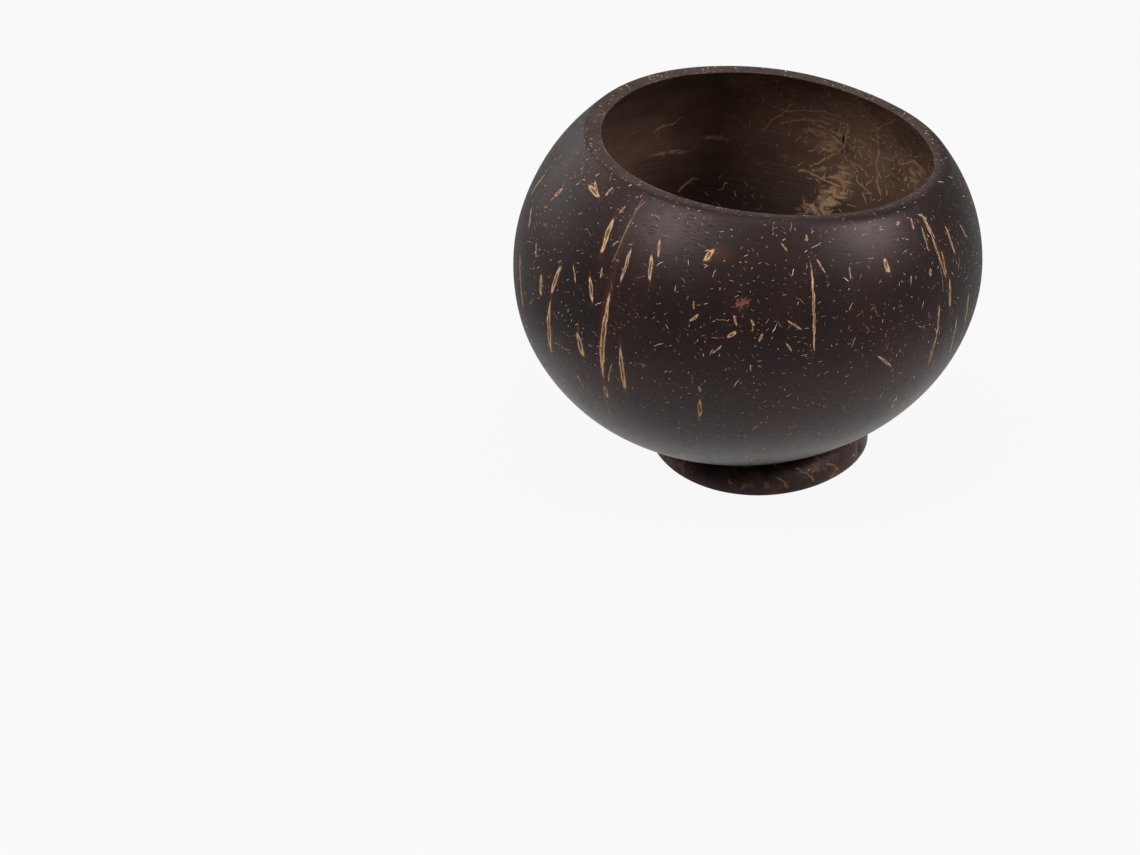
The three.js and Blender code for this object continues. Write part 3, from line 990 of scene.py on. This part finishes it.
def laid_marks(shell, points, distance):
    """All marks of the shell on its map, by kind."""
    outer_rows = slice(0, OUTER_ROWS)
    inner_rows = slice(len(points) - INNER_ROWS, None)
    outer_marks = {"streaks": STREAKS, "sutures": SUTURES, "stains": STAINS, "scabs": SCABS}
    inner_marks = {"patches": PALE_PATCHES, "slits": SLITS, "knots": KNOTS}
    marks = {}
    for rows, kinds in ((outer_rows, outer_marks), (inner_rows, inner_marks)):
        marks |= {name: ellipses(shell, points, distance, rows, kind) for name, kind in kinds.items()}
    for name, rows, lines in (("veins", inner_rows, VEINS), ("threads", outer_rows, THREADS)):
        bends = [[on_map(shell, points, distance, rows, *bend) for bend in line] for line in lines]
        marks[name] = [[bend[:2] for bend in line] for line in bends]
    return marks


def worn_shell(shell, points, distance, bearing, places, marks):
    """The shell after the work on it: sanding waves and worn streaks are taken off its outside along the
    normals, and scraping waves off its inside, where the knot is left standing. Then the lip is lowered by
    cosine waves round it and by a slope towards its inner edge, both dying out as a bell does."""
    outside = (distance < 0) * 1.0
    worn = shell.polish + outside * shell.swell * low_waves(points, SANDING_WAVE, 2)
    worn += (1 - outside) * shell.scrape * low_waves(points * SCRAPING_SQUASH, SCRAPING_WAVE, 3)
    worn += outside * shell.streak_depth * dents(places, marks["streaks"])
    worn -= (1 - outside) * shell.knot_rise * dents(places, marks["knots"])
    points = points - grid_normals(points, False) * worn[..., None]
    dip = shell.lip_wave * (0.5 + 0.3 * np.cos(2 * bearing + 0.6) + 0.2 * np.cos(7 * bearing))
    fall = shell.lip_fall * np.clip(distance / LIP_LAND + 0.5, 0, 1)
    points[..., 2] -= (dip + fall) * np.exp(-((distance / LIP_REACH) ** 2))
    return points


class BuildShell(bpy.types.Operator):
    """Builds the polished shell with its lip and its inside"""

    bl_idname = "coconut_cup.build_shell"
    bl_label = "Shell"

    def execute(self, context):
        cup = context.scene.coconut_cup
        shell = cup.shell
        bearing = MAP_START + np.linspace(0, TURN, SHELL_COLUMNS, endpoint=False)
        points = shell_sections(shell, bearing)
        lip_row = OUTER_ROWS + EDGE_ROWS + LAND_ROWS // 2
        distance = row_distance(points)
        distance = distance - (distance[lip_row] + distance[lip_row - 1]) / 2
        marks = laid_marks(shell, points, distance)
        places = map_places(distance, bearing, shell.nut_radius, False)
        points = worn_shell(shell, points, distance, bearing, places[:, :-1], marks)
        mesh = closed_mesh("cup_shell_visual", points, places, False)
        middle = (shell.axis_x * MM, shell.axis_y * MM, shell.girth_height * MM)
        material = shell_material(cup.finish, marks, middle)
        placed(mesh.name, mesh, material, "cup_shell")
        return {"FINISHED"}


class BuildFoot(bpy.types.Operator):
    """Builds the ring foot with its sanded edges"""

    bl_idname = "coconut_cup.build_foot"
    bl_label = "Foot"

    def execute(self, context):
        cup = context.scene.coconut_cup
        bearing = MAP_START + np.linspace(0, TURN, FOOT_COLUMNS, endpoint=False)
        points = foot_grid(cup.shell, cup.foot, bearing)
        places = map_places(row_distance(points), bearing, cup.foot.radius, True)
        arc = cup.foot.radius * MM
        veins = [[((math.radians(turn) - MAP_START) % TURN * arc, up) for turn, up in v] for v in FOOT_VEINS]
        middle = (cup.foot.centre_x * MM, cup.foot.centre_y * MM, 0)
        mesh = closed_mesh("foot_ring_visual", points, places, True)
        placed(mesh.name, mesh, foot_material(cup.finish, veins, middle), "foot_ring")
        return {"FINISHED"}


class BuildGlue(bpy.types.Operator):
    """Builds the bed of glue between the foot and the shell"""

    bl_idname = "coconut_cup.build_glue"
    bl_label = "Glue"

    def execute(self, context):
        cup = context.scene.coconut_cup
        bearing = MAP_START + np.linspace(0, TURN, GLUE_COLUMNS, endpoint=False)
        points = glue_grid(cup.shell, cup.foot, cup.glue, bearing)
        places = map_places(row_distance(points), bearing, cup.foot.radius, True)
        mesh = closed_mesh("glue_bed_visual", points, places, True)
        placed(mesh.name, mesh, glue_material(cup.finish), "glue_bed")
        return {"FINISHED"}


def floor_material(stage):
    """A pale floor that still takes a shadow: part of what the camera sees is its own white, and so is what
    the shell reflects of it near the sheen's middle."""
    material, finish = new_finish("floor")
    ray = finish.node("ShaderNodeLightPath", {}, {}, "Is Camera Ray")
    place = finish.node("ShaderNodeTexCoord", {}, {}, "Object")
    near = finish.ramp((place - SHEEN_MIDDLE).size(), 0.17, 0.07)
    mirrored = ray.beside("Is Glossy Ray") * finish.slide(near, SHEEN_REST, SHEEN_WHITE)
    seen = (ray * FLOOR_WHITE).most(mirrored).most(ray.beside("Is Transmission Ray") * FLOOR_WHITE)
    matt = finish.node("ShaderNodeBsdfDiffuse", {}, {"Color": (stage.floor_pale,) * 3})
    bright = finish.node("ShaderNodeEmission", {}, {"Color": (1, 1, 1), "Strength": 1.0})
    mixed = finish.node("ShaderNodeMixShader", {}, {"Fac": seen, 1: matt, 2: bright})
    finish.surfaced(mixed)
    return material


def room_light(stage):
    """A dim room with a window at the left, behind the cup, and a bright ceiling."""
    world = bpy.data.worlds.new("room")
    world.use_nodes = True
    room = Finish(world.node_tree)
    way = room.node("ShaderNodeTexCoord", {}, {}, "Generated")
    level = room.slide(room.ramp(way.part("Z"), 0.4, 0.08), stage.room_dim, HORIZON_LEVEL)
    level = room.slide(room.ramp(way.dot(WINDOW_WAY), 0.8, 0.97), level, WINDOW_LEVEL)
    level = room.slide(room.ramp(way.part("Z"), 0.82, 0.96), level, CEILING_LEVEL)
    light = room.node("ShaderNodeBackground", {}, {"Color": (1, 1, 1), "Strength": level})
    room.node("ShaderNodeOutputWorld", {}, {"Surface": light})
    return world


def add_lamp(name, place, power, target):
    """A square lamp at a bearing, a height and a distance, with a side, turned to the target."""
    bearing, height, distance, side = place
    light = bpy.data.lights.new(name, "AREA")
    light.size = side
    light.energy = power
    lamp = bpy.data.objects.new(name, light)
    turn, climb = math.radians(bearing), math.radians(height)
    level = math.cos(climb)
    way = Vector((math.cos(turn) * level, math.sin(turn) * level, math.sin(climb)))
    lamp.location = target + way * distance
    lamp.rotation_euler = (-way).to_track_quat("-Z", "Y").to_euler()
    lamp.visible_camera = False
    bpy.context.scene.collection.objects.link(lamp)


class BuildStage(bpy.types.Operator):
    """Builds the floor, the lamps, the room and the camera"""

    bl_idname = "coconut_cup.build_stage"
    bl_label = "Stage"

    def execute(self, context):
        stage = context.scene.coconut_cup.stage
        mesh = bpy.data.meshes.new("floor")
        corners = [(x * FLOOR_HALF, y * FLOOR_HALF, 0) for x, y in ((-1, -1), (1, -1), (1, 1), (-1, 1))]
        mesh.from_pydata(corners, [], [(0, 1, 2, 3)])
        mesh.materials.append(floor_material(stage))
        floor = bpy.data.objects.new("floor", mesh)
        context.scene.collection.objects.link(floor)
        context.scene.world = room_light(stage)
        target = Vector((0, 0, CAD_BOX[1][2] / 2))
        add_lamp("key_lamp", KEY_PLACE, stage.key_power, target)
        add_lamp("fill_lamp", FILL_PLACE, stage.fill_power, target)
        lens = bpy.data.cameras.new("camera")
        lens.sensor_fit = "HORIZONTAL"
        lens.sensor_width = SENSOR_WIDTH
        lens.lens = stage.lens
        camera = bpy.data.objects.new("camera", lens)
        camera.location = CAMERA_PLACE
        camera.rotation_euler = (CAMERA_TILT, 0, 0)
        context.scene.collection.objects.link(camera)
        context.scene.camera = camera
        context.scene.view_settings.view_transform = "Standard"
        return {"FINISHED"}


class CupPanel(bpy.types.Panel):
    """Lists the steps and the settings"""

    bl_idname = "VIEW3D_PT_coconut_cup"
    bl_label = "Coconut Cup"
    bl_space_type = "VIEW_3D"
    bl_region_type = "UI"
    bl_category = "Coconut Cup"

    def draw(self, context):
        cup = context.scene.coconut_cup
        for step in STEPS:
            self.layout.operator(step.bl_idname)
        for group in (cup.shell, cup.foot, cup.glue, cup.finish, cup.stage):
            box = self.layout.box()
            for name in group.bl_rna.properties.keys():
                if name not in ("rna_type", "name"):
                    box.prop(group, name)


STEPS = (BuildShell, BuildFoot, BuildGlue, BuildStage)
GROUPS = (ShellSettings, FootSettings, GlueSettings, FinishSettings, StageSettings, CupSettings)


def register():
    """Registers the settings, the steps and the panel."""
    for part in (*GROUPS, *STEPS, CupPanel):
        bpy.utils.register_class(part)
    bpy.types.Scene.coconut_cup = PointerProperty(
        name="Coconut cup", description="Settings of the cup", type=CupSettings
    )


def unregister():
    """Takes out what register put in."""
    del bpy.types.Scene.coconut_cup
    for part in (CupPanel, *reversed(STEPS), *reversed(GROUPS)):
        bpy.utils.unregister_class(part)


def main():
    """Builds the cup and its stage."""
    register()
    bpy.ops.coconut_cup.build_shell()
    bpy.ops.coconut_cup.build_foot()
    bpy.ops.coconut_cup.build_glue()
    bpy.ops.coconut_cup.build_stage()


if __name__ == "__main__":
    main()
